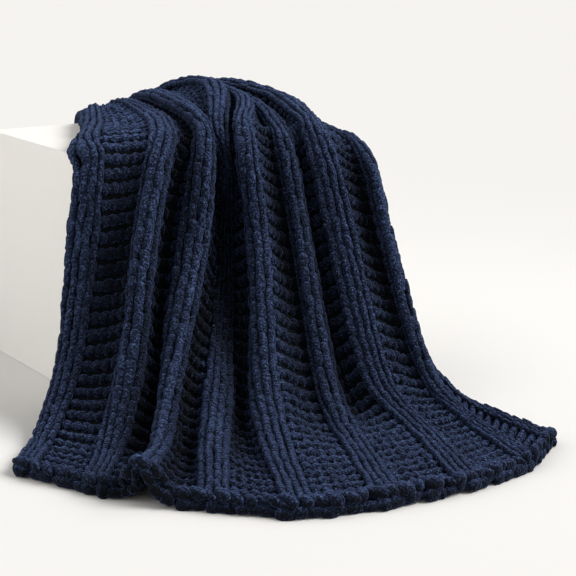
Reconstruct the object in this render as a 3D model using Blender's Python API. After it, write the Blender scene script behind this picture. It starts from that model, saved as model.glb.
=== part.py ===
"""A chunky knit blanket draped over the edge of a low display plinth.

The blanket is one piece of heavy knitting: nine raised ribs run along it, with eight flat panels between
them. It lies on the plinth's top, falls over the front edge in tent-like folds and trails on the floor.

Every rib is a path through nine stations, from the hem on the floor to the end behind the plinth. A panel
hangs between two ribs and dips by a stated depth at each station. Lengths are in metres unless a name or a
table says millimetres, with +Z up. The tables are measured from the plinth's front left foot, and the last
step moves the whole part so that its origin is under its middle, on the floor.
"""
from typing import NamedTuple

import bmesh
import bpy
import numpy as np

MM = 0.001

# The plinth, a plain painted block
PLINTH_WIDTH = 0.540
PLINTH_DEPTH = 0.450
PLINTH_HEIGHT = 0.480
PLINTH_EDGE = 0.002

# The blanket laid flat
BLANKET_LENGTH = 1.520
RIB_STITCHES = 2
RIB_STITCH = 0.0275
PANEL_STITCHES = 5
PANEL_STITCH = 0.0198
KNIT_THICKNESS = 0.022
RIB_RISE = 0.005
RIB_SLOPE = 0.011

# How the cloth rests
REST_GAP = 0.020
EDGE_EASE = 0.012
FOLD_ROUNDNESS = 2.3
FOLD_SOFTNESS = 0.020

# How finely it is cut into faces
PANEL_STEPS = 4
FLOOR_ROWS = 10
UPPER_ROWS = 30
FLOOR_LENGTH = 0.580
FINE_STEP = RIB_STITCH / 5
BEND_STEPS = 3
TIGHTEST = 0.60
WALL_SHARE = 0.34
FACING = 0.3
PATH_SAMPLES = 1600
FOLD_SAMPLES = 20


class Rib(NamedTuple):
    """One rib's middle as points (x, y, z) in mm, from the hem on the floor to the end behind the plinth.

    The gather is how much more knitting than path, in mm, lies bunched up between its hem and its knee.
    """

    gather: int
    hem: tuple
    foot: tuple
    knee: tuple
    waist: tuple
    brow: tuple
    ridge: tuple
    crown: tuple
    nape: tuple
    tail: tuple


class Dip(NamedTuple):
    """How far one panel's middle lies below the line between its two ribs, in mm, at the same stations.

    The lean says how far it lies towards the right rib, in hundredths of the way between the two.
    """

    lean: int
    hem: int
    foot: int
    knee: int
    waist: int
    brow: int
    ridge: int
    crown: int
    nape: int
    tail: int


# From the left border to the right border
RIBS = (
    Rib(85, (-276, -300, 11), (-193, -198, 20), (-101, -106, 108), (-34, -44, 312), (4, -12, 474),
        (16, 30, 500), (100, 172, 508), (224, 440, 494), (196, 516, 340)),
    Rib(16, (-214, -440, 11), (-118, -312, 21), (-44, -228, 110), (42, -130, 316), (116, -64, 474),
        (158, -16, 512), (228, 160, 523), (276, 442, 499), (262, 532, 340)),
    Rib(16, (-176, -512, 62), (-86, -414, 52), (14, -284, 116), (160, -122, 305), (218, -60, 472),
        (246, -12, 520), (288, 186, 544), (326, 442, 511), (314, 532, 340)),
    Rib(0, (-86, -612, 11), (22, -430, 46), (110, -292, 82), (285, -24, 290), (290, -20, 462),
        (300, 10, 510), (410, 222, 574), (388, 442, 526), (384, 532, 340)),
    Rib(0, (12, -710, 11), (112, -488, 28), (180, -335, 86), (283, -142, 310), (304, -74, 464),
        (326, -24, 514), (430, 150, 548), (424, 442, 534), (456, 532, 340)),
    Rib(0, (156, -752, 11), (272, -478, 13), (314, -348, 70), (386, -154, 300), (408, -68, 448),
        (420, -18, 492), (470, 172, 534), (472, 444, 532), (528, 532, 340)),
    Rib(0, (312, -763, 11), (408, -500, 14), (428, -362, 60), (484, -154, 290), (490, -70, 448),
        (494, -20, 500), (545, 196, 541), (520, 446, 532), (598, 530, 340)),
    Rib(80, (464, -741, 11), (510, -488, 24), (524, -382, 66), (568, -192, 286), (586, -98, 431),
        (602, -34, 460), (630, 96, 469), (582, 446, 508), (664, 520, 340)),
    Rib(80, (571, -672, 11), (575, -421, 17), (597, -254, 74), (628, -92, 228), (650, 6, 370),
        (652, 76, 424), (638, 200, 436), (648, 440, 428), (716, 490, 340)),
)

# One row for each panel between two ribs
DIPS = (
    #  lean hem foot knee waist brow ridge crown nape tail
    Dip(20, 0, 6, 26, 40, 16, 4, 4, 0, 30),
    Dip(26, 30, 46, 56, 62, 52, 34, 24, 8, 40),
    Dip(10, 40, 36, 34, 10, 16, 14, 14, 16, 42),
    Dip(0, 0, 26, 44, 18, 16, 14, 20, 20, 44),
    Dip(36, 0, 8, 26, 34, 30, 22, 18, 22, 44),
    Dip(-6, 0, 8, 48, 66, 58, 36, 26, 22, 42),
    Dip(34, 0, 0, 14, 32, 28, 16, 12, 16, 40),
    Dip(0, 0, 0, 10, 20, 26, 20, 12, 8, 28),
)

STATIONS = len(Rib._fields[1:])
KNEE = Rib._fields[1:].index("knee")
RIB_WIDTH = RIB_STITCHES * RIB_STITCH
RIB_MIDDLE = RIB_WIDTH / 2
REPEAT = RIB_WIDTH + PANEL_STITCHES * PANEL_STITCH
BLANKET_WIDTH = len(DIPS) * REPEAT + RIB_WIDTH
FINE_COLUMNS = round(BLANKET_WIDTH / FINE_STEP) + 1
HALF_KNIT = KNIT_THICKNESS / 2


def clear_scene():
    """Remove whatever the scene holds."""
    for thing in list(bpy.data.objects):
        bpy.data.objects.remove(thing, do_unlink=True)


def paint(name, colour, roughness):
    """A plain material for one sub-part."""
    material = bpy.data.materials.new(name)
    material.use_nodes = True
    shader = material.node_tree.nodes["Principled BSDF"]
    shader.inputs["Base Color"].default_value = (*colour, 1.0)
    shader.inputs["Roughness"].default_value = roughness
    shader.inputs["Metallic"].default_value = 0.0
    material.diffuse_color = (*colour, 1.0)
    return material


def smooth_path(points, places):
    """Points of a centripetal Catmull-Rom curve; a place of 1.5 is halfway from the second to the third."""
    ends = np.vstack([2 * points[0] - points[1], points, 2 * points[-1] - points[-2]])
    first = np.clip(np.floor(places).astype(int), 0, len(points) - 2)
    part = (places - first)[:, None]
    before, start, stop, after = (ends[first + step] for step in range(4))
    gaps = [np.sqrt(np.linalg.norm(b - a, axis=1))[:, None] for a, b in
            ((before, start), (start, stop), (stop, after))]
    leave = (stop - start) + gaps[1] * ((start - before) / gaps[0] - (stop - before) / (gaps[0] + gaps[1]))
    arrive = (stop - start) + gaps[1] * ((after - stop) / gaps[2] - (after - start) / (gaps[1] + gaps[2]))
    return hermite(start, leave, stop, arrive, part)


def hermite(start, leave, stop, arrive, part):
    """A cubic from start to stop with the given directions at its ends, at part of the way."""
    square, cube = part**2, part**3
    return ((2 * cube - 3 * square + 1) * start + (cube - 2 * square + part) * leave
            + (3 * square - 2 * cube) * stop + (cube - square) * arrive)


def rib_line(rib, lengths):
    """The rib's points at the given lengths from its hem, and the stations they fall at."""
    places = np.linspace(0, STATIONS - 1, PATH_SAMPLES)
    path = smooth_path(np.array(rib[1:], dtype=float) * MM, places)
    run = np.concatenate([[0], np.cumsum(np.linalg.norm(np.diff(path, axis=0), axis=1))])
    run += rib.gather * MM * np.minimum(run / np.interp(KNEE, places, run), 1)
    points = np.stack([np.interp(lengths, run, path[:, axis]) for axis in range(3)], axis=1)
    spare = np.maximum(lengths - run[-1], 0)
    points[:, 2] -= spare
    return points, np.interp(lengths, run, places)


def off_plinth(points):
    """Move the cloth's middle layer out of the plinth and its clearance, over rounded edges."""
    low = np.array([0, 0, -PLINTH_HEIGHT]) + (EDGE_EASE, EDGE_EASE, 0)
    high = np.array([PLINTH_WIDTH, PLINTH_DEPTH, PLINTH_HEIGHT]) - EDGE_EASE
    core = np.clip(points, low, high)
    away = points - core
    distance = np.linalg.norm(away, axis=-1, keepdims=True)
    reach = EDGE_EASE + HALF_KNIT + REST_GAP
    deep = distance[..., 0] < 1e-6
    to_front = points[..., 1]
    to_top = PLINTH_HEIGHT - points[..., 2]
    away = np.where(deep[..., None] & (to_front < to_top)[..., None], (0.0, -1.0, 0.0), away)
    away = np.where(deep[..., None] & (to_front >= to_top)[..., None], (0.0, 0.0, 1.0), away)
    face = core.copy()
    face[..., 1] = np.where(deep & (to_front < to_top), EDGE_EASE, face[..., 1])
    face[..., 2] = np.where(deep & (to_front >= to_top), PLINTH_HEIGHT - EDGE_EASE, face[..., 2])
    unit = away / np.maximum(np.linalg.norm(away, axis=-1, keepdims=True), 1e-9)
    return np.where(distance < reach, face + unit * reach, points)


def above_floor(points, lowest):
    """Keep the points at or above a height."""
    raised = points.copy()
    raised[..., 2] = np.maximum(raised[..., 2], lowest)
    return raised


def fold_lines(lengths):
    """Lines along the cloth, by turns a rib's middle and the middle of the panel beside it."""
    lines, stations = zip(*(rib_line(rib, lengths) for rib in RIBS))
    folds = [lines[0]]
    for left, right, at_left, at_right, dip in zip(lines, lines[1:], stations, stations[1:], DIPS):
        along = np.gradient(left, lengths, axis=0) + np.gradient(right, lengths, axis=0)
        outward = np.cross(right - left, along)
        outward /= np.linalg.norm(outward, axis=1, keepdims=True)
        depth = np.interp((at_left + at_right) / 2, np.arange(STATIONS), dip[1:]) * MM
        middle = left + (right - left) * (0.5 + dip.lean / 100) - outward * depth[:, None]
        folds += [off_plinth(above_floor(middle, HALF_KNIT)), right]
    return np.array(folds)


def unit_rows(vectors):
    """Each vector at length one."""
    return vectors / np.maximum(np.linalg.norm(vectors, axis=-1, keepdims=True), 1e-12)


def half_wave(start, stop, start_way, stop_way):
    """The cloth from a rib to a panel's middle or back, with steeper walls the deeper the fold is."""
    chord = stop - start
    span = np.linalg.norm(chord, axis=1, keepdims=True)
    leave = np.abs((chord * start_way).sum(axis=1, keepdims=True))
    arrive = np.abs((chord * stop_way).sum(axis=1, keepdims=True))
    depth = np.sqrt(np.maximum(span**2 - ((leave + arrive) / 2) ** 2, 0))
    round_off = 1 + (FOLD_ROUNDNESS - 1) * np.clip(2 * depth / np.maximum(span, 1e-9), 0, 1)
    part = np.linspace(0, 1, FOLD_SAMPLES + 1)[:, None, None]
    return hermite(start, start_way * leave * round_off, stop, stop_way * arrive * round_off, part)


def softened(layer):
    """Round the folds off across the cloth, as thick knitting does, and leave its two borders in place."""
    reach = round(3 * FOLD_SOFTNESS / FINE_STEP)
    weights = np.exp(-0.5 * (np.arange(-reach, reach + 1) * FINE_STEP / FOLD_SOFTNESS) ** 2)
    before = 2 * layer[:1] - layer[reach:0:-1]
    after = 2 * layer[-1:] - layer[-2:-reach - 2:-1]
    padded = np.concatenate([before, layer, after])
    shifted = [weight * padded[step:step + len(layer)] for step, weight in enumerate(weights)]
    return sum(shifted) / weights.sum()


def middle_layer(lengths):
    """The cloth's middle layer: a point for each fine step across the flat cloth and each length along it."""
    across = np.linspace(0, BLANKET_WIDTH, FINE_COLUMNS)
    folds = fold_lines(lengths)
    ways = unit_rows(np.concatenate([folds[1:2] - folds[:1], folds[2:] - folds[:-2], folds[-1:] - folds[-2:-1]]))
    layer = np.zeros((len(across), len(lengths), 3))
    for panel in range(len(DIPS)):
        a, b, c = 2 * panel, 2 * panel + 1, 2 * panel + 2
        wave = np.concatenate([half_wave(folds[a], folds[b], ways[a], ways[b]),
                               half_wave(folds[b], folds[c], ways[b], ways[c])[1:]])
        run = np.concatenate([np.zeros((1, len(lengths))),
                              np.cumsum(np.linalg.norm(np.diff(wave, axis=0), axis=2), axis=0)])
        first = RIB_MIDDLE + panel * REPEAT
        for column in np.flatnonzero((across > first - FINE_STEP / 2) & (across < first + REPEAT + FINE_STEP / 2)):
            wanted = (across[column] - first) / REPEAT * run[-1]
            for row, length in enumerate(wanted):
                layer[column, row] = [np.interp(length, run[:, row], wave[:, row, axis]) for axis in range(3)]
    for column in np.flatnonzero(across < RIB_MIDDLE - FINE_STEP / 2):
        layer[column] = folds[0] + ways[0] * (across[column] - RIB_MIDDLE)
    for column in np.flatnonzero(across > BLANKET_WIDTH - RIB_MIDDLE + FINE_STEP / 2):
        layer[column] = folds[-1] + ways[-1] * (across[column] - BLANKET_WIDTH + RIB_MIDDLE)
    return above_floor(off_plinth(softened(layer)), HALF_KNIT)


def columns_across():
    """Places across the flat cloth, four on each rib and some on each panel, and how far each is raised."""
    places, rises = [], []
    for rib in range(len(RIBS)):
        left = rib * REPEAT
        places += [left, left + RIB_SLOPE, left + RIB_WIDTH - RIB_SLOPE, left + RIB_WIDTH]
        rises += [0, RIB_RISE, RIB_RISE, 0]
        if rib < len(DIPS):
            steps = np.linspace(left + RIB_WIDTH, left + REPEAT, PANEL_STEPS + 1)[1:-1]
            places += list(steps)
            rises += [0] * len(steps)
    return np.array(places), np.array(rises)


def rows_along():
    """Places along the cloth, closer together from where it climbs to the plinth's edges."""
    floor = np.linspace(0, FLOOR_LENGTH, FLOOR_ROWS + 1)
    upper = np.linspace(FLOOR_LENGTH, BLANKET_LENGTH, UPPER_ROWS + 1)
    return np.concatenate([floor, upper[1:]])


def squeeze(middle, outward, wanted, side):
    """The knit's thickness on one side of its middle layer, less where a fold is tighter than it is thick."""
    reach = BEND_STEPS
    padded = np.concatenate([middle[:1]] * reach + [middle] + [middle[-1:]] * reach)
    bend = (padded[2 * reach:] - 2 * middle + padded[:-2 * reach]) / (reach * FINE_STEP) ** 2
    inside = side * (bend * outward).sum(axis=-1)
    inside[:reach] = inside[-reach:] = 0
    room = TIGHTEST / np.maximum(inside, 1e-3)
    thickness = np.minimum(wanted, np.minimum(room, WALL_SHARE * wall_gap(middle, outward * side)))
    return np.minimum(thickness, softened(thickness))


def wall_gap(middle, facing):
    """How far each point of the middle layer is from the nearest wall of cloth that it faces in its row."""
    gap = np.full(middle.shape[:2], 1.0)
    apart = round(2 * HALF_KNIT / FINE_STEP)
    for step in range(apart, round(REPEAT / FINE_STEP)):
        across = middle[step:] - middle[:-step]
        distance = np.linalg.norm(across, axis=-1)
        ahead = (across * facing[:-step]).sum(axis=-1) > FACING * distance
        behind = (-across * facing[step:]).sum(axis=-1) > FACING * distance
        gap[:-step] = np.where(ahead, np.minimum(gap[:-step], distance), gap[:-step])
        gap[step:] = np.where(behind, np.minimum(gap[step:], distance), gap[step:])
    return gap


def build_blanket():
    """The whole knit as one closed body, with its ribs raised on the outer side."""
    across, rises = columns_across()
    lengths = rows_along()
    columns, rows = len(across) - 1, len(lengths) - 1
    middle = middle_layer(lengths)
    outward = unit_rows(np.cross(np.gradient(middle, axis=0), np.gradient(middle, axis=1)))
    raised = np.interp(np.linspace(0, BLANKET_WIDTH, FINE_COLUMNS), across, rises)[:, None]
    outer = middle + outward * squeeze(middle, outward, HALF_KNIT + raised, 1)[..., None]
    inner = above_floor(middle - outward * squeeze(middle, outward, HALF_KNIT, -1)[..., None], 0.0)
    kept = np.rint(across / FINE_STEP).astype(int)
    outer, inner = outer[kept], inner[kept]

    knit = bmesh.new()
    grid = bmesh.ops.create_grid(knit, x_segments=columns, y_segments=rows, size=0.5)["verts"]
    places = {v: (round((v.co.x + 0.5) * columns), round((v.co.y + 0.5) * rows)) for v in grid}
    copied = bmesh.ops.duplicate(knit, geom=list(knit.verts) + list(knit.edges) + list(knit.faces))
    twins = {v: copied["vert_map"][v] for v in grid}
    for vertex, place in places.items():
        vertex.co = outer[place]
        twins[vertex].co = inner[place]
    rim = [edge for edge in knit.edges if edge.is_boundary]
    bmesh.ops.bridge_loops(knit, edges=rim)
    bmesh.ops.triangulate(knit, faces=list(knit.faces), quad_method="SHORT_EDGE")
    bmesh.ops.recalc_face_normals(knit, faces=list(knit.faces))
    return finish("blanket", knit, paint("navy_chenille", (0.012, 0.018, 0.036), 0.9))


def build_plinth():
    """The block that the blanket lies on."""
    block = bmesh.new()
    bmesh.ops.create_cube(block, size=1.0)
    bmesh.ops.scale(block, vec=(PLINTH_WIDTH, PLINTH_DEPTH, PLINTH_HEIGHT), verts=block.verts)
    bmesh.ops.translate(block, vec=(PLINTH_WIDTH / 2, PLINTH_DEPTH / 2, PLINTH_HEIGHT / 2), verts=block.verts)
    bmesh.ops.bevel(block, geom=list(block.edges), offset=PLINTH_EDGE, segments=1, affect="EDGES", profile=0.5)
    return finish("plinth", block, paint("matt_white_paint", (0.80, 0.78, 0.75), 0.6))


def finish(name, mesh_in_work, material):
    """Turn the worked mesh into a named object with its material."""
    mesh = bpy.data.meshes.new(name)
    mesh_in_work.to_mesh(mesh)
    mesh_in_work.free()
    mesh.materials.append(material)
    thing = bpy.data.objects.new(name, mesh)
    bpy.context.scene.collection.objects.link(thing)
    return thing


def centre_on_floor(things):
    """Move the part so that its origin is on the floor under the middle of its box."""
    corners = np.array([vertex.co for thing in things for vertex in thing.data.vertices])
    middle = (corners.min(axis=0) + corners.max(axis=0)) / 2
    for thing in things:
        thing.location = (-middle[0], -middle[1], 0.0)


def main():
    clear_scene()
    centre_on_floor([build_plinth(), build_blanket()])


main()
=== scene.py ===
"""A chunky knit blanket draped over a display plinth, dressed for its portrait.

The blanket is knitted flat, course by course, from one thick chenille yarn, and the flat knitting is then
laid over the plinth by the same ribs and dips that shape its solid. Lengths are in metres unless a name or a
table says millimetres, with +Z up. The ribs' table is measured from the plinth's front left foot.
"""
import logging
import math
from collections.abc import Sequence
from dataclasses import dataclass, field
from enum import Enum
from typing import Any, NamedTuple

import bmesh
import bpy
import numpy as np
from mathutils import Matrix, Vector

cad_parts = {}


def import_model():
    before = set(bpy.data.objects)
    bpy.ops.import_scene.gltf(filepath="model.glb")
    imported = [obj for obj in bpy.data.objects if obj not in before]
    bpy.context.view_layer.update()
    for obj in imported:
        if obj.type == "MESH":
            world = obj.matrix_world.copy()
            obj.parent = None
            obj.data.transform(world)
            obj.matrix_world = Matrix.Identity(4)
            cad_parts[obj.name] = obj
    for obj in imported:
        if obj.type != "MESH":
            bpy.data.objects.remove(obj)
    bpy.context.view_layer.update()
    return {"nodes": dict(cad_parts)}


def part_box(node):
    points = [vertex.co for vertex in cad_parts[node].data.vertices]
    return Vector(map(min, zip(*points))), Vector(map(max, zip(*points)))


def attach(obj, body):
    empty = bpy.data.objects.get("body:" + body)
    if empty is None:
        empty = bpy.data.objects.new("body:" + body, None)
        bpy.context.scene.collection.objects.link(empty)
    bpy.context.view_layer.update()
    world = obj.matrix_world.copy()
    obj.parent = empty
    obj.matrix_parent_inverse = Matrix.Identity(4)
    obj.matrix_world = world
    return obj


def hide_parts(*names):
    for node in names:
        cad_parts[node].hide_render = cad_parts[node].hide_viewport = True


MM = 0.001
# The attribute that holds the painted shade of folds, grooves and upright or low cloth, as a share of painted
# light from 0 to 1
PAINTED_LIGHT = "painted_light"
# Heights on a strand, as shares of its radius, between which the painted shade in the grooves goes from the
# dimmest to none
GROOVE, CROWN, DIMMEST = 0.40, 0.98, 0.06
# The share of painted light kept by cloth that hangs upright or lies low: painted shade where the plinth
# hides part of the sky
UPRIGHT = 0.72
# The shares of light in a fold at which its painted shade is none and full
OPEN_FOLD, BLACK_FOLD = 0.93, 0.40
# How much of the light in a fold comes over its left wall and over its right one, for its painted shade
FROM_LEFT, FROM_RIGHT = 0.34, 0.66

log = logging.getLogger("knit_blanket")


# ---- how the blanket hangs


class Rib(NamedTuple):
    """One rib's middle as points (x, y, z) in mm, from the hem on the floor to the end behind the plinth.

    The gather is how much more knitting than path, in mm, lies bunched up between its hem and its knee.
    """

    gather: int
    hem: tuple[int, int, int]
    foot: tuple[int, int, int]
    knee: tuple[int, int, int]
    waist: tuple[int, int, int]
    brow: tuple[int, int, int]
    ridge: tuple[int, int, int]
    crown: tuple[int, int, int]
    nape: tuple[int, int, int]
    tail: tuple[int, int, int]


class Dip(NamedTuple):
    """How far one panel's middle lies below the line between its two ribs, in mm, at the same stations.

    The lean says how far it lies towards the right rib, in hundredths of the way between the two.
    """

    lean: int
    hem: int
    foot: int
    knee: int
    waist: int
    brow: int
    ridge: int
    crown: int
    nape: int
    tail: int


# From the left border to the right border
RIBS = (
    Rib(85, (-276, -300, 11), (-193, -198, 20), (-101, -106, 108), (-34, -44, 312), (4, -12, 474),
        (16, 30, 500), (100, 172, 508), (224, 440, 494), (196, 516, 340)),
    Rib(16, (-214, -440, 11), (-118, -312, 21), (-44, -228, 110), (42, -130, 316), (116, -64, 474),
        (158, -16, 512), (228, 160, 523), (276, 442, 499), (262, 532, 340)),
    Rib(16, (-176, -512, 62), (-86, -414, 52), (14, -284, 116), (160, -122, 305), (218, -60, 472),
        (246, -12, 520), (288, 186, 544), (326, 442, 511), (314, 532, 340)),
    Rib(0, (-86, -612, 11), (22, -430, 46), (110, -292, 82), (285, -24, 290), (290, -20, 462),
        (300, 10, 510), (410, 222, 574), (388, 442, 526), (384, 532, 340)),
    Rib(0, (12, -710, 11), (112, -488, 28), (180, -335, 86), (283, -142, 310), (304, -74, 464),
        (326, -24, 514), (430, 150, 548), (424, 442, 534), (456, 532, 340)),
    Rib(0, (156, -752, 11), (272, -478, 13), (314, -348, 70), (386, -154, 300), (408, -68, 448),
        (420, -18, 492), (470, 172, 534), (472, 444, 532), (528, 532, 340)),
    Rib(0, (312, -763, 11), (408, -500, 14), (428, -362, 60), (484, -154, 290), (490, -70, 448),
        (494, -20, 500), (545, 196, 541), (520, 446, 532), (598, 530, 340)),
    Rib(80, (464, -741, 11), (510, -488, 24), (524, -382, 66), (568, -192, 286), (586, -98, 431),
        (602, -34, 460), (630, 96, 469), (582, 446, 508), (664, 520, 340)),
    Rib(80, (571, -672, 11), (575, -421, 17), (597, -254, 74), (628, -92, 228), (650, 6, 370),
        (652, 76, 424), (638, 200, 436), (648, 440, 428), (716, 490, 340)),
)

# One row for each panel between two ribs
DIPS = (
    #  lean hem foot knee waist brow ridge crown nape tail
    Dip(20, 0, 6, 26, 40, 16, 4, 4, 0, 30),
    Dip(26, 30, 46, 56, 62, 52, 34, 24, 8, 40),
    Dip(10, 40, 36, 34, 10, 16, 14, 14, 16, 42),
    Dip(0, 0, 26, 44, 18, 16, 14, 20, 20, 44),
    Dip(36, 0, 8, 26, 34, 30, 22, 18, 22, 44),
    Dip(-6, 0, 8, 48, 66, 58, 36, 26, 22, 42),
    Dip(34, 0, 0, 14, 32, 28, 16, 12, 16, 40),
    Dip(0, 0, 0, 10, 20, 26, 20, 12, 8, 28),
)

STATIONS = len(Rib._fields[1:])
KNEE = Rib._fields[1:].index("knee")


@dataclass(frozen=True)
class Gauge:
    """The stitch counts and sizes that the whole blanket is knitted to."""

    rib_stitch: float = 0.0275
    panel_stitch: float = 0.0198
    rib_stitches: int = 2
    panel_stitches: int = 5
    courses: int = 50
    length: float = 1.520
    thickness: float = 0.022

    @property
    def repeat_stitches(self) -> int:
        """Stitches from one rib to the next."""
        return self.rib_stitches + self.panel_stitches

    @property
    def stitches(self) -> int:
        """Stitches in a course, from border to border."""
        return len(DIPS) * self.repeat_stitches + self.rib_stitches

    @property
    def rib_width(self) -> float:
        """The flat width of one rib."""
        return self.rib_stitches * self.rib_stitch

    @property
    def repeat_width(self) -> float:
        """The flat distance from one rib to the next."""
        return self.rib_width + self.panel_stitches * self.panel_stitch

    @property
    def width(self) -> float:
        """The flat blanket's width."""
        return len(DIPS) * self.repeat_width + self.rib_width

    def stitch_edges(self) -> np.ndarray:
        """Where each stitch starts across the flat blanket, and where the last one ends."""
        widths = [self.rib_stitch if stitch % self.repeat_stitches < self.rib_stitches else self.panel_stitch
                  for stitch in range(self.stitches)]
        return np.concatenate([[0.0], np.cumsum(widths)])

    @property
    def course(self) -> float:
        """The height of one course."""
        return self.length / self.courses

    @property
    def half(self) -> float:
        """From the knitting's middle layer to its face."""
        return self.thickness / 2


def unit_rows(vectors: np.ndarray) -> np.ndarray:
    """Each vector at length one."""
    return vectors / np.maximum(np.linalg.norm(vectors, axis=-1, keepdims=True), 1e-12)


def hermite(start: np.ndarray, leave: np.ndarray, stop: np.ndarray, arrive: np.ndarray,
            part: np.ndarray) -> np.ndarray:
    """A cubic between two points.

    Args:
        start: Where it starts.
        leave: Its direction there.
        stop: Where it stops.
        arrive: Its direction there.
        part: The places wanted, from 0 to 1.

    Returns:
        The cubic's points at those places.
    """
    square, cube = part**2, part**3
    return ((2 * cube - 3 * square + 1) * start + (cube - 2 * square + part) * leave
            + (3 * square - 2 * cube) * stop + (cube - square) * arrive)


def smooth_path(points: np.ndarray, places: np.ndarray) -> np.ndarray:
    """A centripetal Catmull-Rom curve through points.

    Args:
        points: The points that it passes.
        places: The places wanted; 1.5 is halfway from the second point to the third.

    Returns:
        The curve's points at those places.
    """
    ends = np.vstack([2 * points[0] - points[1], points, 2 * points[-1] - points[-2]])
    first = np.clip(np.floor(places).astype(int), 0, len(points) - 2)
    part = (places - first)[:, None]
    before, start, stop, after = (ends[first + step] for step in range(4))
    gaps = [np.sqrt(np.linalg.norm(b - a, axis=1))[:, None] for a, b in
            ((before, start), (start, stop), (stop, after))]
    leave = (stop - start) + gaps[1] * ((start - before) / gaps[0] - (stop - before) / (gaps[0] + gaps[1]))
    arrive = (stop - start) + gaps[1] * ((after - stop) / gaps[2] - (after - start) / (gaps[1] + gaps[2]))
    return hermite(start, leave, stop, arrive, part)


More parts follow.
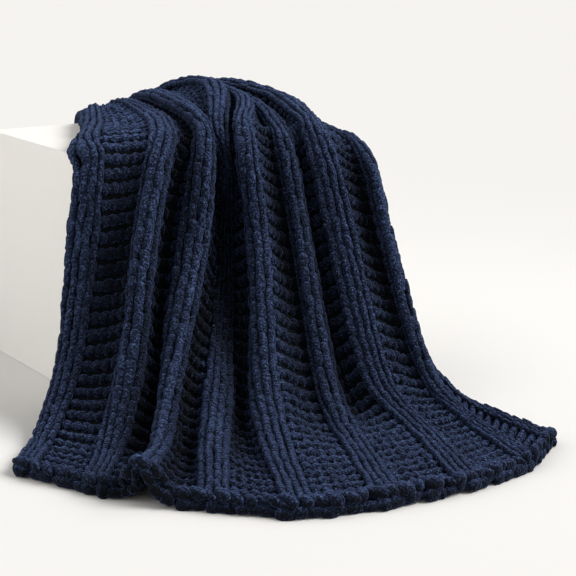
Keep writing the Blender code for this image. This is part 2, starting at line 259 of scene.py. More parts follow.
@dataclass
class Drape:
    """The blanket's middle layer as it lies over the plinth, and what turns a flat place into a hung one.

    Attributes:
        rest_gap, edge_ease: Air under the cloth on the plinth, and how far in its rounding of an edge starts.
        border_roll: How far each border turns down, in radians.
        fold_roundness, fold_softness: How steep deep folds' walls are, and how wide the cloth is rounded off.
        wall_reach: How far across the cloth a wall may stand that still takes light away.
        bend_steps: How many steps to each side a bend is measured over.
        tightest, wall_share: Of a bend's radius and of the gap between two walls, what the knitting may fill.
        facing: The cosine from which a place faces a wall.
        path_samples, fold_samples: Points along a rib, and across half a panel.
        column_step, row_step: The grid's steps across and along.
        middle, outward: The grid's points, and the way that the face looks there.
        room: For the face (1) and the back (-1), how much of the thickness finds room.
        light: The share of light that each place gets between its walls, which sets its painted shade.
    """

    gauge: Gauge
    plinth_foot: Vector
    plinth_size: Vector
    rest_gap: float = 0.004
    edge_ease: float = 0.012
    border_roll: float = 0.65
    fold_roundness: float = 2.3
    fold_softness: float = 0.010
    wall_reach: float = 0.240
    bend_steps: int = 3
    tightest: float = 0.75
    wall_share: float = 0.42
    facing: float = 0.5
    path_samples: int = 1600
    fold_samples: int = 20
    column_step: float = 0.0055
    row_step: float = 0.006
    middle: np.ndarray = field(init=False)
    outward: np.ndarray = field(init=False)
    room: dict[int, np.ndarray] = field(init=False)
    light: np.ndarray = field(init=False)

    def __post_init__(self) -> None:
        """Work the layer out once, on a fine grid of flat places."""
        rows = round(self.gauge.length / self.row_step) + 1
        self.lengths = np.linspace(0, self.gauge.length, rows)
        columns = round(self.gauge.width / self.column_step)
        self.across = np.linspace(0, self.gauge.width, columns + 1)
        self.fine = self.gauge.width / columns
        self.middle = self.middle_layer()
        slopes = np.gradient(self.middle, axis=0), np.gradient(self.middle, axis=1)
        self.outward = unit_rows(self.softened(unit_rows(np.cross(*slopes)), self.fold_softness / 2))
        self.room = {side: self.room_beside(side) for side in (-1, 1)}
        self.light = self.sky_share()

    def sky_share(self) -> np.ndarray:
        """How much of the light each place gets between the walls of cloth at its sides, for the painted
        shade in folds.
        """
        blocked = np.zeros(self.middle.shape[:2])
        for side, share in ((-1, FROM_LEFT), (1, FROM_RIGHT)):
            middle, outward = self.middle[::side], self.outward[::side]
            highest = np.zeros(middle.shape[:2])
            for step in range(1, round(self.wall_reach / self.fine)):
                wall = middle[step:] - middle[:-step]
                rise = (wall * outward[:-step]).sum(axis=-1) / np.linalg.norm(wall, axis=-1)
                highest[:-step] = np.maximum(highest[:-step], rise)
            blocked += share * highest[::side]
        return 1 - blocked

    def rib_line(self, rib: Rib) -> tuple[np.ndarray, np.ndarray]:
        """One rib from its hem upwards.

        Args:
            rib: The rib's stations.

        Returns:
            Its points at this drape's lengths from the hem, and the stations that they fall at.
        """
        places = np.linspace(0, STATIONS - 1, self.path_samples)
        path = smooth_path(np.array(rib[1:], dtype=float) * MM, places)
        run = np.concatenate([[0], np.cumsum(np.linalg.norm(np.diff(path, axis=0), axis=1))])
        run += rib.gather * MM * np.minimum(run / np.interp(KNEE, places, run), 1)
        points = np.stack([np.interp(self.lengths, run, path[:, axis]) for axis in range(3)], axis=1)
        points[:, 2] -= np.maximum(self.lengths - run[-1], 0)
        return points, np.interp(self.lengths, run, places)

    def off_plinth(self, points: np.ndarray) -> np.ndarray:
        """Move the middle layer out of the plinth and its clearance, over rounded edges.

        Args:
            points: Points of the middle layer.

        Returns:
            The same points, clear of the plinth.
        """
        width, depth, height = self.plinth_size
        ease = self.edge_ease
        core = np.clip(points, (ease, ease, -height), (width - ease, depth - ease, height - ease))
        away = points - core
        distance = np.linalg.norm(away, axis=-1, keepdims=True)
        inside = distance[..., 0] < 1e-6
        front = inside & (points[..., 1] < height - points[..., 2])
        top = inside & ~front
        away = np.where(front[..., None], (0.0, -1.0, 0.0), np.where(top[..., None], (0.0, 0.0, 1.0), away))
        core[..., 1] = np.where(front, ease, core[..., 1])
        core[..., 2] = np.where(top, height - ease, core[..., 2])
        reach = ease + self.gauge.half + self.rest_gap
        return np.where(distance < reach, core + unit_rows(away) * reach, points)

    @staticmethod
    def above_floor(points: np.ndarray, lowest: float) -> np.ndarray:
        """Keep the points at or above a height."""
        raised = points.copy()
        raised[..., 2] = np.maximum(raised[..., 2], lowest)
        return raised

    def fold_lines(self) -> np.ndarray:
        """Lines along the cloth, by turns a rib's middle and the middle of the panel beside it."""
        lines, stations = zip(*(self.rib_line(rib) for rib in RIBS))
        folds = [lines[0]]
        for left, right, at_left, at_right, dip in zip(lines, lines[1:], stations, stations[1:], DIPS):
            along = np.gradient(left, self.lengths, axis=0) + np.gradient(right, self.lengths, axis=0)
            outward = unit_rows(np.cross(right - left, along))
            depth = np.interp((at_left + at_right) / 2, np.arange(STATIONS), dip[1:]) * MM
            middle = left + (right - left) * (0.5 + dip.lean / 100) - outward * depth[:, None]
            folds += [self.off_plinth(self.above_floor(middle, self.gauge.half)), right]
        return np.array(folds)

    def half_wave(self, start: np.ndarray, stop: np.ndarray, start_way: np.ndarray,
                  stop_way: np.ndarray) -> np.ndarray:
        """The cloth from a rib to a panel's middle or back, with steeper walls the deeper the fold is.

        Args:
            start: The line it starts from.
            stop: The line it reaches.
            start_way: Directions across the cloth along the first line.
            stop_way: The same along the second line.

        Returns:
            Lines from the first to the second, fold_samples steps apart.
        """
        chord = stop - start
        span = np.linalg.norm(chord, axis=1, keepdims=True)
        leave = np.abs((chord * start_way).sum(axis=1, keepdims=True))
        arrive = np.abs((chord * stop_way).sum(axis=1, keepdims=True))
        depth = np.sqrt(np.maximum(span**2 - ((leave + arrive) / 2) ** 2, 0))
        bulge = 1 + (self.fold_roundness - 1) * np.clip(2 * depth / np.maximum(span, 1e-9), 0, 1)
        part = np.linspace(0, 1, self.fold_samples + 1)[:, None, None]
        return hermite(start, start_way * leave * bulge, stop, stop_way * arrive * bulge, part)

    def softened(self, layer: np.ndarray, softness: float) -> np.ndarray:
        """Round the layer off across the cloth, as thick knitting does, and leave its borders in place.

        Args:
            layer: Values on the grid of flat places.
            softness: How wide the rounding is.

        Returns:
            The rounded values.
        """
        reach = round(3 * softness / self.fine)
        weights = np.exp(-0.5 * (np.arange(-reach, reach + 1) * self.fine / softness) ** 2)
        before = 2 * layer[:1] - layer[reach:0:-1]
        after = 2 * layer[-1:] - layer[-2:-reach - 2:-1]
        padded = np.concatenate([before[-reach:], layer, after[:reach]])
        shifted = [weight * padded[step:step + len(layer)] for step, weight in enumerate(weights)]
        return sum(shifted) / weights.sum()

    def middle_layer(self) -> np.ndarray:
        """The cloth's middle layer: a point for each flat place across and along."""
        gauge, across = self.gauge, self.across
        folds = self.fold_lines()
        ways = unit_rows(np.concatenate(
            [folds[1:2] - folds[:1], folds[2:] - folds[:-2], folds[-1:] - folds[-2:-1]]))
        layer = np.zeros((len(across), len(self.lengths), 3))
        rib_middle = gauge.rib_width / 2
        repeat = gauge.repeat_width
        for panel in range(len(DIPS)):
            a, b, c = 2 * panel, 2 * panel + 1, 2 * panel + 2
            wave = np.concatenate([self.half_wave(folds[a], folds[b], ways[a], ways[b]),
                                   self.half_wave(folds[b], folds[c], ways[b], ways[c])[1:]])
            steps = np.cumsum(np.linalg.norm(np.diff(wave, axis=0), axis=2), axis=0)
            run = np.concatenate([np.zeros((1, len(self.lengths))), steps])
            first = rib_middle + panel * repeat
            inside = (across > first - self.fine / 2) & (across < first + repeat + self.fine / 2)
            for row in range(len(self.lengths)):
                wanted = (across[inside] - first) / repeat * run[-1, row]
                for axis in range(3):
                    layer[inside, row, axis] = np.interp(wanted, run[:, row], wave[:, row, axis])
        for line, middle, side in ((0, rib_middle, -1), (-1, gauge.width - rib_middle, 1)):
            outward = unit_rows(np.cross(ways[line], np.gradient(folds[line], axis=0)))
            way = ways[line] * math.cos(self.border_roll) - side * outward * math.sin(self.border_roll)
            for column in np.flatnonzero(side * (across - middle) > self.fine / 2):
                layer[column] = folds[line] + way * (across[column] - middle)
        layer = self.off_plinth(self.softened(layer, self.fold_softness))
        return self.above_floor(layer, gauge.half)

    def room_beside(self, side: int) -> np.ndarray:
        """How much of its thickness the knitting keeps where a fold is tighter than it is thick.

        Args:
            side: 1 for the outer side, -1 for the side towards the plinth.

        Returns:
            A share from 0 to 1 for each flat place.
        """
        reach, middle, outward = self.bend_steps, self.middle, self.outward * side
        padded = np.concatenate([middle[:1]] * reach + [middle] + [middle[-1:]] * reach)
        bend = (padded[2 * reach:] - 2 * middle + padded[:-2 * reach]) / (reach * self.fine) ** 2
        inside = (bend * outward).sum(axis=-1)
        inside[:reach] = inside[-reach:] = 0
        room = np.minimum(self.tightest / np.maximum(inside, 1e-3), self.wall_share * self.wall_gap(outward))
        share = np.minimum(room / self.gauge.half, 1)
        return np.minimum(share, self.softened(share, self.fold_softness / 2))

    def wall_gap(self, outward: np.ndarray) -> np.ndarray:
        """How far each place is from the nearest wall of cloth that it faces in its row.

        Args:
            outward: The way that each place faces.

        Returns:
            The distances, at most 1 m.
        """
        gap = np.full(self.middle.shape[:2], 1.0)
        apart = round(2 * self.gauge.half / self.fine)
        for step in range(apart, round(self.gauge.repeat_width / self.fine)):
            across = self.middle[step:] - self.middle[:-step]
            distance = np.linalg.norm(across, axis=-1)
            ahead = (across * outward[:-step]).sum(axis=-1) > self.facing * distance
            behind = (-across * outward[step:]).sum(axis=-1) > self.facing * distance
            gap[:-step] = np.where(ahead, np.minimum(gap[:-step], distance), gap[:-step])
            gap[step:] = np.where(behind, np.minimum(gap[step:], distance), gap[step:])
        return gap

    def hang(self, flat: np.ndarray) -> tuple[np.ndarray, np.ndarray, np.ndarray]:
        """Lay flat places over the plinth.

        Args:
            flat: Rows of (across, along, height above the middle layer).

        Returns:
            The same rows in the part's own frame, each one's share of light for the painted shade, and how
            far the cloth faces up there.
        """
        place = flat[:, :2] / (self.fine, self.lengths[1])
        whole = np.floor(place).astype(int)
        whole[:, 0] = np.clip(whole[:, 0], 0, len(self.across) - 2)
        whole[:, 1] = np.clip(whole[:, 1], 0, len(self.lengths) - 2)
        part = place - whole
        hung = np.zeros_like(flat)
        outward = np.zeros_like(flat)
        room = {side: np.zeros(len(flat)) for side in self.room}
        light = np.zeros(len(flat))
        for right in (0, 1):
            for up in (0, 1):
                weight = (part[:, 0] if right else 1 - part[:, 0]) * (part[:, 1] if up else 1 - part[:, 1])
                corner = whole[:, 0] + right, whole[:, 1] + up
                hung += weight[:, None] * self.middle[corner]
                outward += weight[:, None] * self.outward[corner]
                light += weight * self.light[corner]
                for side, share in self.room.items():
                    room[side] += weight * share[corner]
        height = flat[:, 2] * np.where(flat[:, 2] > 0, room[1], room[-1])
        outward = unit_rows(outward)
        hung += outward * height[:, None]
        return self.above_floor(hung, 0.0) + np.array(self.plinth_foot), light, outward[:, 2]


# ---- finishes


def linear(hex_colour: str) -> tuple[float, float, float, float]:
    """An sRGB hex colour as the linear colour that a shader takes.

    Args:
        hex_colour: Six hex digits, such as "1a2b3c".

    Returns:
        Linear red, green and blue, and an alpha of 1.
    """
    parts = [int(hex_colour[step:step + 2], 16) / 255 for step in (0, 2, 4)]
    red, green, blue = (c / 12.92 if c <= 0.04045 else ((c + 0.055) / 1.055) ** 2.4 for c in parts)
    return red, green, blue, 1.0


def add_node(tree: bpy.types.NodeTree, kind: str, settings: dict[str, Any] | None = None,
             **inputs: Any) -> bpy.types.Node:
    """Add a node to a tree.

    Args:
        tree: The material's node tree.
        kind: The node's type name.
        settings: Its own properties.
        **inputs: Values or output sockets for its inputs, each by its name with _ for a space, or by n and
            its number.

    Returns:
        The node.
    """
    node = tree.nodes.new(kind)
    for name, value in (settings or {}).items():
        setattr(node, name, value)
    for name, value in inputs.items():
        by_number = name[0] == "n" and name[1:].isdigit()
        socket = node.inputs[int(name[1:]) if by_number else name.replace("_", " ")]
        if isinstance(value, bpy.types.NodeSocket):
            tree.links.new(value, socket)
        else:
            socket.default_value = value
    return node


def fresh_material(name: str) -> tuple[bpy.types.Material, bpy.types.Node]:
    """A new material and its shader.

    Args:
        name: The material's name.

    Returns:
        The material, and its Principled BSDF.
    """
    material = bpy.data.materials.new(name)
    material.use_nodes = True
    return material, material.node_tree.nodes["Principled BSDF"]


@dataclass(frozen=True)
class Chenille:
    """Thick polyester chenille yarn: a deep navy pile, matt face on, with a painted sheen where it is seen
    edge on.

    The pile's own tufts are about 2 mm wide, too fine to show, so they are drawn twice as coarse. Tufts,
    clumps of tufts and slow changes of tone each shift the pile between its deep and its worn colour. The
    brightest tufts get painted glints, and folds and grooves a painted shade.
    """

    name: str = "navy_chenille_yarn"
    # The colour of the painted shade in folds, grooves and low places
    painted_shade: str = "06080c"
    deep: str = "04060b"
    worn: str = "2b3a5c"
    # Painted sheen: the pile is mixed towards this colour where it is seen edge on, and in painted glints
    painted_sheen: str = "7b93cc"
    rim_blend: float = 0.22
    rim_share: float = 0.20
    # Painted glints: how much of the painted sheen colour the brightest tufts get
    fleck_share: float = 0.45
    sheen_tint: str = "7a96dc"
    roughness: float = 0.9
    gloss: float = 0.1
    sheen: float = 0.32
    sheen_roughness: float = 0.30
    tuft_mm: float = 4.2
    clump_mm: float = 4.5
    shade_mm: float = 90.0
    clump_roughness: float = 0.65
    tuft_height_mm: float = 3.5
    stray_mm: float = 3.0
    base_level: float = 0.40
    tuft_weight: float = -0.8
    clump_weight: float = 2.6
    shade_weight: float = 0.4
    dye_levels: tuple[float, float] = (1.00, 2.00)
    fleck_levels: tuple[float, float] = (1.55, 2.15)

    def material(self) -> bpy.types.Material:
        """The yarn's material, with its tufts as bump and its uneven dye as colour."""
        material, shader = fresh_material(self.name)
        tree = material.node_tree
        place = add_node(tree, "ShaderNodeTexCoord").outputs["Object"]
        stray = add_node(tree, "ShaderNodeTexNoise", Vector=place, Scale=1 / (2 * self.tuft_mm * MM),
                         Detail=1.0)
        strayed = add_node(tree, "ShaderNodeVectorMath", {"operation": "MULTIPLY_ADD"},
                           n0=stray.outputs["Color"], n1=(self.stray_mm * MM,) * 3, n2=place)
        tufts = add_node(tree, "ShaderNodeTexVoronoi", Vector=strayed.outputs[0],
                         Scale=1 / (self.tuft_mm * MM))
        clumps, shades = (
            add_node(tree, "ShaderNodeTexNoise", Vector=place, Scale=1 / (size * MM), Detail=3.0,
                     Roughness=self.clump_roughness)
            for size in (self.clump_mm, self.shade_mm))
        level: float | bpy.types.NodeSocket = self.base_level
        for pattern, weight in ((tufts.outputs["Distance"], self.tuft_weight),
                                (clumps.outputs["Fac"], self.clump_weight),
                                (shades.outputs["Fac"], self.shade_weight)):
            level = add_node(tree, "ShaderNodeMath", {"operation": "MULTIPLY_ADD"},
                             n0=pattern, n1=weight, n2=level).outputs[0]
        share = add_node(tree, "ShaderNodeMapRange", Value=level, From_Min=self.dye_levels[0],
                         From_Max=self.dye_levels[1])
        dye = add_node(tree, "ShaderNodeMix", {"data_type": "RGBA"}, n0=share.outputs["Result"],
                       n6=linear(self.deep), n7=linear(self.worn))
        bump = add_node(tree, "ShaderNodeBump", {"invert": True}, Height=tufts.outputs["Distance"],
                        Strength=1.0, Distance=self.tuft_height_mm * MM)
        # Painted sheen where the surface is seen edge on, plus painted glints where the tuft pattern is
        # highest
        edge = add_node(tree, "ShaderNodeLayerWeight", Blend=self.rim_blend, Normal=bump.outputs["Normal"])
        painted_glints = add_node(tree, "ShaderNodeMapRange", Value=level, From_Min=self.fleck_levels[0],
                         From_Max=self.fleck_levels[1], To_Min=0.0, To_Max=self.fleck_share)
        painted_sheen = add_node(tree, "ShaderNodeMath", {"operation": "MULTIPLY_ADD"}, n0=edge.outputs["Facing"],
                       n1=self.rim_share, n2=painted_glints.outputs[0])
        pile = add_node(tree, "ShaderNodeMix", {"data_type": "RGBA"}, n0=painted_sheen.outputs[0],
                        n6=dye.outputs[2], n7=linear(self.painted_sheen))
        # Painted shade: the pile darkens towards the painted shade colour where the mesh's painted light
        # attribute is low
        painted_light_input = add_node(tree, "ShaderNodeAttribute", {"attribute_name": PAINTED_LIGHT})
        colour = add_node(tree, "ShaderNodeMix", {"data_type": "RGBA"}, n0=painted_light_input.outputs["Fac"],
                          n6=linear(self.painted_shade), n7=pile.outputs[2])
        tree.links.new(colour.outputs[2], shader.inputs["Base Color"])
        tree.links.new(bump.outputs["Normal"], shader.inputs["Normal"])
        shader.inputs["Roughness"].default_value = self.roughness
        shader.inputs["Specular IOR Level"].default_value = self.gloss
        shader.inputs["Sheen Weight"].default_value = self.sheen
        shader.inputs["Sheen Roughness"].default_value = self.sheen_roughness
        shader.inputs["Sheen Tint"].default_value = linear(self.sheen_tint)
        return material


@dataclass(frozen=True)
class InnerPile:
    """The pile in the depth of the knitting, between the loops.

    It is the same navy, painted almost black as painted shade, and its tufts are drawn as coarse as the
    loops' are.
    """

    name: str = "navy_chenille_inner_pile"
    # The navy painted almost black, as painted shade in the depth of the knitting
    colour: str = "080a0e"
    roughness: float = 1.0
    gloss: float = 0.1
    tuft_mm: float = 5.0
    tuft_strength: float = 0.6
    tuft_height_mm: float = 2.0

    def material(self) -> bpy.types.Material:
        """The dark pile's material."""
        material, shader = fresh_material(self.name)
        tree = material.node_tree
        place = add_node(tree, "ShaderNodeTexCoord").outputs["Object"]
        tufts = add_node(tree, "ShaderNodeTexNoise", Vector=place, Scale=1 / (self.tuft_mm * MM), Detail=2.0)
        bump = add_node(tree, "ShaderNodeBump", Height=tufts.outputs["Fac"], Strength=self.tuft_strength,
                        Distance=self.tuft_height_mm * MM)
        tree.links.new(bump.outputs["Normal"], shader.inputs["Normal"])
        shader.inputs["Base Color"].default_value = linear(self.colour)
        shader.inputs["Roughness"].default_value = self.roughness
        shader.inputs["Specular IOR Level"].default_value = self.gloss
        return material


@dataclass(frozen=True)
class RolledPaint:
    """Matt white emulsion rolled on board: even and chalky, with a faint stipple from the roller."""

    name: str = "matt_white_rolled_paint"
    colour: str = "f6f3ee"
    roughness: float = 0.75
    stipple_mm: float = 2.5
    stipple_strength: float = 0.5
    stipple_height_mm: float = 0.06

    def material(self) -> bpy.types.Material:
        """The paint's material."""
        material, shader = fresh_material(self.name)
        tree = material.node_tree
        place = add_node(tree, "ShaderNodeTexCoord").outputs["Object"]
        stipple = add_node(tree, "ShaderNodeTexNoise", Vector=place, Scale=1 / (self.stipple_mm * MM),
                           Detail=3.0)
        bump = add_node(tree, "ShaderNodeBump", Height=stipple.outputs["Fac"], Strength=self.stipple_strength,
                        Distance=self.stipple_height_mm * MM)
        tree.links.new(bump.outputs["Normal"], shader.inputs["Normal"])
        shader.inputs["Base Color"].default_value = linear(self.colour)
        shader.inputs["Roughness"].default_value = self.roughness
        return material


@dataclass(frozen=True)
class StudioPaper:
    """Seamless background paper: warm white and quite without gloss."""

    name: str = "seamless_paper"
    colour: str = "e8e6e3"
    roughness: float = 0.95
    gloss: float = 0.0

    def material(self) -> bpy.types.Material:
        """The paper's material."""
        material, shader = fresh_material(self.name)
        shader.inputs["Base Color"].default_value = linear(self.colour)
        shader.inputs["Roughness"].default_value = self.roughness
        shader.inputs["Specular IOR Level"].default_value = self.gloss
        return material


# ---- the blanket


def shown_object(name: str, mesh: bpy.types.Mesh, material: bpy.types.Material) -> bpy.types.Object:
    """Put a finished mesh into the scene, smooth and in one material.

    Args:
        name: The piece's name.
        mesh: Its mesh, in place.
        material: Its finish.

    Returns:
        The object.
    """
    mesh.name = name
    mesh.materials.clear()
    mesh.materials.append(material)
    mesh.shade_smooth()
    thing = bpy.data.objects.new(name, mesh)
    bpy.context.scene.collection.objects.link(thing)
    return thing


def yarn_mesh(strands: Sequence[np.ndarray], radii: Sequence[np.ndarray],
              sides_setting: int) -> bpy.types.Mesh:
    """Flat strands of yarn as one mesh of tubes, with how far up its strand each vertex is, for the painted
    shade in the grooves between strands.

    Args:
        strands: For each strand, its points (across, along, height).
        radii: For each strand, the yarn's radius at those points.
        sides_setting: The bevel resolution: 2 gives eight sides, 3 gives ten.

    Returns:
        The tubes' mesh, with closed ends.
    """
    curve = bpy.data.curves.new("strands", "CURVE")
    curve.dimensions = "3D"
    curve.bevel_depth = 1.0
    curve.bevel_resolution = sides_setting
    curve.use_fill_caps = True
    for points, sizes in zip(strands, radii):
        spline = curve.splines.new("POLY")
        spline.points.add(len(points) - 1)
        spline.points.foreach_set("co", np.column_stack([points, np.ones(len(points))]).ravel())
        spline.points.foreach_set("radius", sizes)
    holder = bpy.data.objects.new("strands", curve)
    bpy.context.scene.collection.objects.link(holder)
    bpy.context.view_layer.update()
    mesh = bpy.data.meshes.new_from_object(holder.evaluated_get(bpy.context.evaluated_depsgraph_get()))
    bpy.data.objects.remove(holder)
    bpy.data.curves.remove(curve)
    # The vertices of the caps come first, and those of the rings after them
    level, radius = (np.repeat(np.concatenate(rings), 2 * sides_setting + 4)
                     for rings in ([points[:, 2] for points in strands], radii))
    flat = np.empty(len(mesh.vertices) * 3)
    mesh.vertices.foreach_get("co", flat)
    # How far up its strand each vertex is goes into the painted light attribute, for painted shade in the
    # grooves; the caps get the dimmest painted shade
    crown = np.zeros(len(mesh.vertices))
    crown[-len(level):] = (flat[2::3][-len(level):] - level) / radius
    mesh.attributes.new(PAINTED_LIGHT, "FLOAT", "POINT").data.foreach_set("value", crown)
    return mesh


def hang_mesh(mesh: bpy.types.Mesh, drape: Drape) -> None:
    """Lay a flat mesh over the plinth, and paint on it the shade of its folds, grooves and upright or low
    places.

    Args:
        mesh: A mesh whose vertices are flat places, and which may say how far up its strand each one is.
        drape: How the blanket hangs.
    """
    flat = np.empty(len(mesh.vertices) * 3)
    mesh.vertices.foreach_get("co", flat)
    flat = flat.reshape(-1, 3)
    hung, light, upward = drape.hang(flat)
    mesh.vertices.foreach_set("co", hung.ravel())
    # Painted shade in deep folds, most where the light from the right is walled off, and on cloth that hangs
    # upright or lies low
    painted_light = np.clip((light - BLACK_FOLD) / (OPEN_FOLD - BLACK_FOLD), 0, 1)
    height = np.clip(hung[:, 2] / drape.plinth_size[2], 0, 1)
    painted_light *= UPRIGHT + (1 - UPRIGHT) * np.clip(upward, 0, 1) * height
    # Painted shade in the grooves between strands, by how far up its strand each vertex is
    if PAINTED_LIGHT in mesh.attributes:
        crown = np.empty(len(flat))
        mesh.attributes[PAINTED_LIGHT].data.foreach_get("value", crown)
        mesh.attributes[PAINTED_LIGHT].data.foreach_set(
            "value", painted_light * np.clip((crown - GROOVE) / (CROWN - GROOVE), DIMMEST, 1))
    mesh.update()


class Stitch(Enum):
    """What a stitch shows on the face."""

    KNIT = "two legs side by side"
    PURL = "one bump"


class LoopPart(NamedTuple):
    """The part of a loop of thick yarn that shows on the face: a fat bent sausage with round ends, in metres.

    Its level is the height of its middle line above the knitting's middle layer. The arch raises that line's
    middle over its ends, the tilt raises its upper end, and the splay moves the upper end sideways.
    """

    radius: float
    half_length: float
    level: float
    arch: float = 0.0
    tilt: float = 0.0
    splay: float = 0.0
    roundness: float = 2.4


@dataclass
class Yarn:
    """How evenly the yarn was worked: what differs from one loop to the next."""

    rng: np.random.Generator
    thickness: float = 0.05
    length: float = 0.05
    place: float = 0.0008
    turn: float = 0.0008
    lumps: float = 0.07
    tip: float = 0.02
    rings: int = 7

    def strand(self, across: float, along: float, part: LoopPart) -> tuple[np.ndarray, np.ndarray]:
        """One shown part of a loop.

        Args:
            across: Where its middle is across the blanket.
            along: Where its middle is along the blanket.
            part: Its sizes.

        Returns:
            Its points as flat places, and its radius at each.
        """
        rng = self.rng
        way = np.sin(np.linspace(-np.pi / 2, np.pi / 2, self.rings))
        half_length = part.half_length * (1 + self.length * rng.standard_normal())
        shift = self.place * rng.standard_normal(3)
        points = np.column_stack([
            across + shift[0] + (part.splay + self.turn * rng.standard_normal()) * way,
            along + shift[1] + half_length * way,
            part.level + shift[2] + part.arch * (1 - way**2) + part.tilt * way])
        fullness = np.sqrt(np.maximum(1 - np.abs(way) ** part.roundness, self.tip))
        thickness = 1 + self.thickness * rng.standard_normal() + self.lumps * rng.standard_normal(self.rings)
        return points, part.radius * thickness * fullness

    def bar(self, start: float, stop: float, along: float, part: LoopPart) -> tuple[np.ndarray, np.ndarray]:
        """A length of yarn that lies straight across the blanket.

        Args:
            start: Where it starts across the blanket.
            stop: Where it stops.
            along: Where it lies along the blanket.
            part: Its radius and level.

        Returns:
            Its points as flat places, and its radius at each.
        """
        rings = 2 * self.rings
        points = np.column_stack([np.linspace(start, stop, rings),
                                  along + self.place * self.rng.standard_normal(rings),
                                  np.full(rings, part.level)])
        return points, part.radius * (1 + self.lumps * self.rng.standard_normal(rings))


@dataclass
class Knitting:
    """The courses of stitches: knit ribs of two wales with purl panels of five between them."""

    gauge: Gauge
    drape: Drape
    yarn: bpy.types.Material
    knit_leg: LoopPart = LoopPart(radius=0.0074, half_length=0.0195, level=0.0078, arch=0.0006, tilt=0.0012,
                                  splay=0.0008, roundness=7.0)
    border_leg: LoopPart = LoopPart(radius=0.0085, half_length=0.0200, level=-0.0015, roundness=5.0)
    purl_bump: LoopPart = LoopPart(radius=0.0122, half_length=0.0122, level=-0.0018, arch=0.0004,
                                   roundness=3.2)
    purl_bar: LoopPart = LoopPart(radius=0.0104, half_length=0.0, level=-0.0014)
    leg_stagger: float = 0.0045
    courses_per_band: int = 10
    sides_setting: int = 2
    seed: int = 7

    def kind(self, number: int) -> Stitch:
        """Which stitch stands at a place in the course."""
        in_rib = number % self.gauge.repeat_stitches < self.gauge.rib_stitches
        return Stitch.KNIT if in_rib else Stitch.PURL

    def course(self, number: int, yarn: Yarn) -> list[tuple[np.ndarray, np.ndarray]]:
        """The shown parts of one course of loops.

        A knit stitch shows two legs. A purl stitch shows a bump, and a bar joins a panel's bumps behind them.

        Args:
            number: The course, counted from the hem.
            yarn: How evenly it was worked.

        Returns:
            Each part's points as flat places, and its radii.
        """
        gauge, strands = self.gauge, []
        edges = gauge.stitch_edges()
        along = (number + 0.5) * gauge.course
        for border in (edges[0], edges[-1]):
            strands.append(yarn.strand(border, along, self.border_leg))
        for left in np.arange(len(DIPS)) * gauge.repeat_width + gauge.rib_width:
            right = left + gauge.panel_stitches * gauge.panel_stitch
            strands.append(yarn.bar(left, right, along, self.purl_bar))
        for stitch, (start, stop) in enumerate(zip(edges, edges[1:])):
            if self.kind(stitch) is Stitch.KNIT:
                for side in (-1, 1):
                    across = (start + stop) / 2 + side * (stop - start) / 4
                    leg = self.knit_leg._replace(splay=side * self.knit_leg.splay)
                    strands.append(yarn.strand(across, along + side * self.leg_stagger, leg))
            else:
                strands.append(yarn.strand((start + stop) / 2, along, self.purl_bump))
        return strands

    def build(self) -> list[bpy.types.Object]:
        """Knit the courses in bands and hang them.

        Returns:
            One object for each band of courses, from the hem upwards.
        """
        yarn = Yarn(np.random.default_rng(self.seed))
        bands = []
        for first in range(0, self.gauge.courses, self.courses_per_band):
            last = first + self.courses_per_band
            strands = [strand for number in range(first, last) for strand in self.course(number, yarn)]
            mesh = yarn_mesh(*zip(*strands), self.sides_setting)
            hang_mesh(mesh, self.drape)
            bands.append(shown_object(f"knit_courses_{first + 1:02d}_to_{last:02d}", mesh, self.yarn))
        return bands


@dataclass
class ChainEdge:
    """A cast-on or bind-off edge: chains of big round loops along an end of the knitting, one on another.

    Each chain is how far in it lies, and its loops' form. A wider loop is a fatter one, but by less.
    """

    gauge: Gauge
    drape: Drape
    yarn: bpy.types.Material
    name: str
    chains: tuple[tuple[float, LoopPart], ...]
    along: float
    loop_width: float = 0.0235
    unevenness: float = 0.26
    fatness_power: float = 0.6
    sides_setting: int = 3
    seed: int = 3

    def build(self) -> bpy.types.Object:
        """Lay every chain as a row of fat loops, each a little over the next.

        Returns:
            The edge's object.
        """
        rng = np.random.default_rng(self.seed)
        yarn = Yarn(rng, thickness=0.11, length=0.45, place=0.0018, turn=0.0045)
        loops = round(self.gauge.width / self.loop_width)
        strands = []
        for number, (inwards, part) in enumerate(self.chains):
            widths = 1 + self.unevenness * rng.standard_normal(loops + number)
            edges = np.concatenate([[0.0], np.cumsum(widths)]) / widths.sum() * self.gauge.width
            for start, stop in zip(edges, edges[1:]):
                size = (stop - start) / self.loop_width
                loop = part._replace(radius=part.radius * size**self.fatness_power)
                strands.append(yarn.strand((start + stop) / 2, self.along + inwards, loop))
        mesh = yarn_mesh(*zip(*strands), self.sides_setting)
        hang_mesh(mesh, self.drape)
        return shown_object(self.name, mesh, self.yarn)


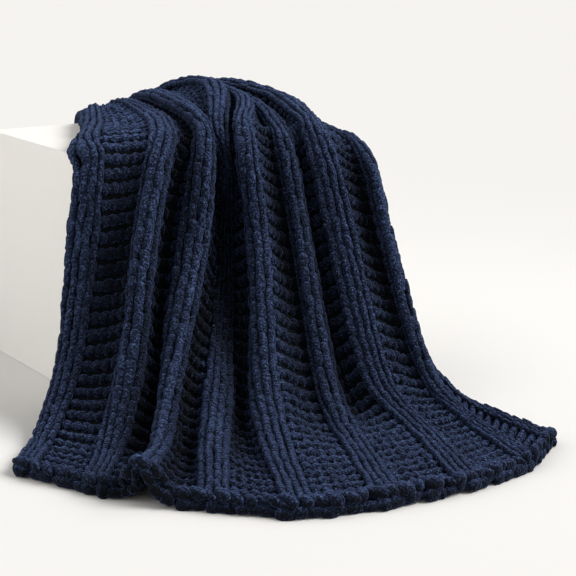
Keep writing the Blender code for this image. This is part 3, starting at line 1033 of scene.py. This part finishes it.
@dataclass
class KnitGround:
    """The knitting's inner layer, a thin sheet that rises and falls with the courses behind the loops."""

    gauge: Gauge
    drape: Drape
    pile: bpy.types.Material
    thickness: float = 0.003
    level: float = -0.0010
    course_ripple: float = 0.0034
    columns: int = 117
    rows_per_course: int = 6

    def build(self) -> bpy.types.Object:
        """Make the sheet flat, ripple it with the courses, hang it and give it its thickness.

        Returns:
            The sheet's object.
        """
        gauge = self.gauge
        sheet = bmesh.new()
        bmesh.ops.create_grid(sheet, x_segments=self.columns,
                              y_segments=gauge.courses * self.rows_per_course, size=0.5)
        bmesh.ops.translate(sheet, verts=list(sheet.verts), vec=(0.5, 0.5, 0))
        bmesh.ops.scale(sheet, verts=list(sheet.verts), vec=(gauge.width, gauge.length, 1))
        bmesh.ops.solidify(sheet, geom=list(sheet.verts) + list(sheet.edges) + list(sheet.faces),
                           thickness=self.thickness)
        bmesh.ops.recalc_face_normals(sheet, faces=list(sheet.faces))
        for place in sheet.verts:
            ripple = math.cos(2 * math.pi * place.co.y / gauge.course)
            place.co.z += self.level + self.course_ripple * ripple
        mesh = bpy.data.meshes.new("knit_ground")
        sheet.to_mesh(mesh)
        sheet.free()
        hang_mesh(mesh, self.drape)
        return shown_object("knit_ground", mesh, self.pile)


@dataclass
class Blanket:
    """The whole blanket: its courses, its two chain edges and its inner layer."""

    gauge: Gauge
    drape: Drape
    lower_hem: tuple[float, LoopPart] = (-0.005, LoopPart(
        radius=0.0100, half_length=0.0040, level=-0.0020, splay=0.0165, roundness=3.4))
    upper_hem: tuple[float, LoopPart] = (0.002, LoopPart(
        radius=0.0112, half_length=0.0090, level=0.0115, arch=0.0020, splay=-0.0155, roundness=3.4))
    bind_off: tuple[float, LoopPart] = (0.0, LoopPart(
        radius=0.0125, half_length=0.0090, level=0.0030, splay=0.0150, roundness=3.4))

    def build(self) -> list[bpy.types.Object]:
        """Returns:
            The pieces, the sheet first.
        """
        yarn = Chenille().material()
        ground = KnitGround(self.gauge, self.drape, InnerPile().material()).build()
        courses = Knitting(self.gauge, self.drape, yarn).build()
        edges = [ChainEdge(self.gauge, self.drape, yarn, name, chains, along).build()
                 for name, chains, along in (("cast_on_chain", (self.lower_hem, self.upper_hem), 0.0),
                                             ("bind_off_chain", (self.bind_off,), self.gauge.length))]
        for piece in (ground, *courses, *edges):
            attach(piece, "root")
        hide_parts("blanket")
        return [ground, *courses, *edges]


# ---- the studio


class SoftLight(NamedTuple):
    """A far studio light: its strength, and in degrees its spread, its height and its bearing.

    The bearing is counted from behind the camera, to the right.
    """

    name: str
    strength: float
    spread: float
    height: float
    bearing: float


@dataclass
class Studio:
    """A plain pale floor, soft light from both sides and most from the upper right, and the camera.

    Places are measured from the plinth's front left foot.
    """

    foot: Vector
    floor_size: float = 60.0
    sky: str = "fffefd"
    sky_strength: float = 0.40
    lights: tuple[SoftLight, ...] = (
        SoftLight("key_light", 2.70, 35.0, 43.0, 85.0),
        SoftLight("side_light", 0.95, 80.0, 30.0, -85.0),
    )
    softbox_power: float = 4.0
    softbox_side: float = 0.6
    softbox_place: tuple[float, float, float] = (1.35, -0.35, 1.35)
    softbox_aim: tuple[float, float, float] = (0.3, 0.1, 0.45)
    camera_place: tuple[float, float, float] = (-1.293, -2.686, 0.9407)
    camera_bearing: float = -33.0
    camera_pitch: float = 13.5
    lens_mm: float = 100.0
    sensor_mm: float = 36.0
    sight: float = 200.0

    def build(self) -> None:
        """Make the floor, the lights and the camera."""
        self.lay_floor()
        self.hang_lights()
        self.hang_softbox()
        self.place_camera()

    def lay_floor(self) -> None:
        """A wide sheet of paper under the object."""
        paper = bmesh.new()
        bmesh.ops.create_grid(paper, x_segments=1, y_segments=1, size=self.floor_size / 2)
        mesh = bpy.data.meshes.new("studio_floor")
        paper.to_mesh(mesh)
        paper.free()
        shown_object("studio_floor", mesh, StudioPaper().material())

    def hang_lights(self) -> None:
        """A dim even room, and the wide soft lights."""
        scene = bpy.context.scene
        scene.view_settings.view_transform = "Standard"
        world = bpy.data.worlds.new("studio_room")
        world.use_nodes = True
        room = world.node_tree.nodes["Background"]
        room.inputs["Color"].default_value = linear(self.sky)
        room.inputs["Strength"].default_value = self.sky_strength
        scene.world = world
        for light in self.lights:
            lamp = bpy.data.lights.new(light.name, "SUN")
            lamp.energy = light.strength
            lamp.angle = math.radians(light.spread)
            holder = bpy.data.objects.new(light.name, lamp)
            bearing = math.radians(self.camera_bearing - 180 + light.bearing)
            height = math.radians(light.height)
            towards = Vector((-math.sin(bearing) * math.cos(height), math.cos(bearing) * math.cos(height),
                              math.sin(height)))
            holder.rotation_euler = towards.to_track_quat("Z", "Y").to_euler()
            scene.collection.objects.link(holder)

    def hang_softbox(self) -> None:
        """A near square light to the right, above the plinth, which the top gets more of than the floor."""
        lamp = bpy.data.lights.new("softbox", "AREA")
        lamp.energy = self.softbox_power
        lamp.size = self.softbox_side
        holder = bpy.data.objects.new("softbox", lamp)
        holder.location = self.foot + Vector(self.softbox_place)
        towards = holder.location - (self.foot + Vector(self.softbox_aim))
        holder.rotation_euler = towards.to_track_quat("Z", "Y").to_euler()
        bpy.context.scene.collection.objects.link(holder)

    def place_camera(self) -> None:
        """The camera, a long lens from the front left."""
        lens = bpy.data.cameras.new("camera")
        lens.lens = self.lens_mm
        lens.sensor_width = self.sensor_mm
        lens.clip_end = self.sight
        camera = bpy.data.objects.new("camera", lens)
        camera.location = self.foot + Vector(self.camera_place)
        camera.rotation_euler = (math.radians(90 - self.camera_pitch), 0, math.radians(self.camera_bearing))
        bpy.context.scene.collection.objects.link(camera)
        bpy.context.scene.camera = camera


def dress_plinth(plinth: bpy.types.Object) -> None:
    """Give the plinth its paint.

    Args:
        plinth: The plinth's node.
    """
    plinth.data.materials.clear()
    plinth.data.materials.append(RolledPaint().material())


def main() -> None:
    """Load the frame, build and dress everything, and log each piece's face count."""
    logging.basicConfig(level=logging.INFO, format="%(message)s")
    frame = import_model()
    foot, far_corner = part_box("plinth")
    gauge = Gauge()
    drape = Drape(gauge, foot, far_corner - foot)
    dress_plinth(frame["nodes"]["plinth"])
    for piece in Blanket(gauge, drape).build():
        log.info("%s: %d faces", piece.name, len(piece.data.polygons))
    Studio(foot).build()


if __name__ == "__main__":
    main()
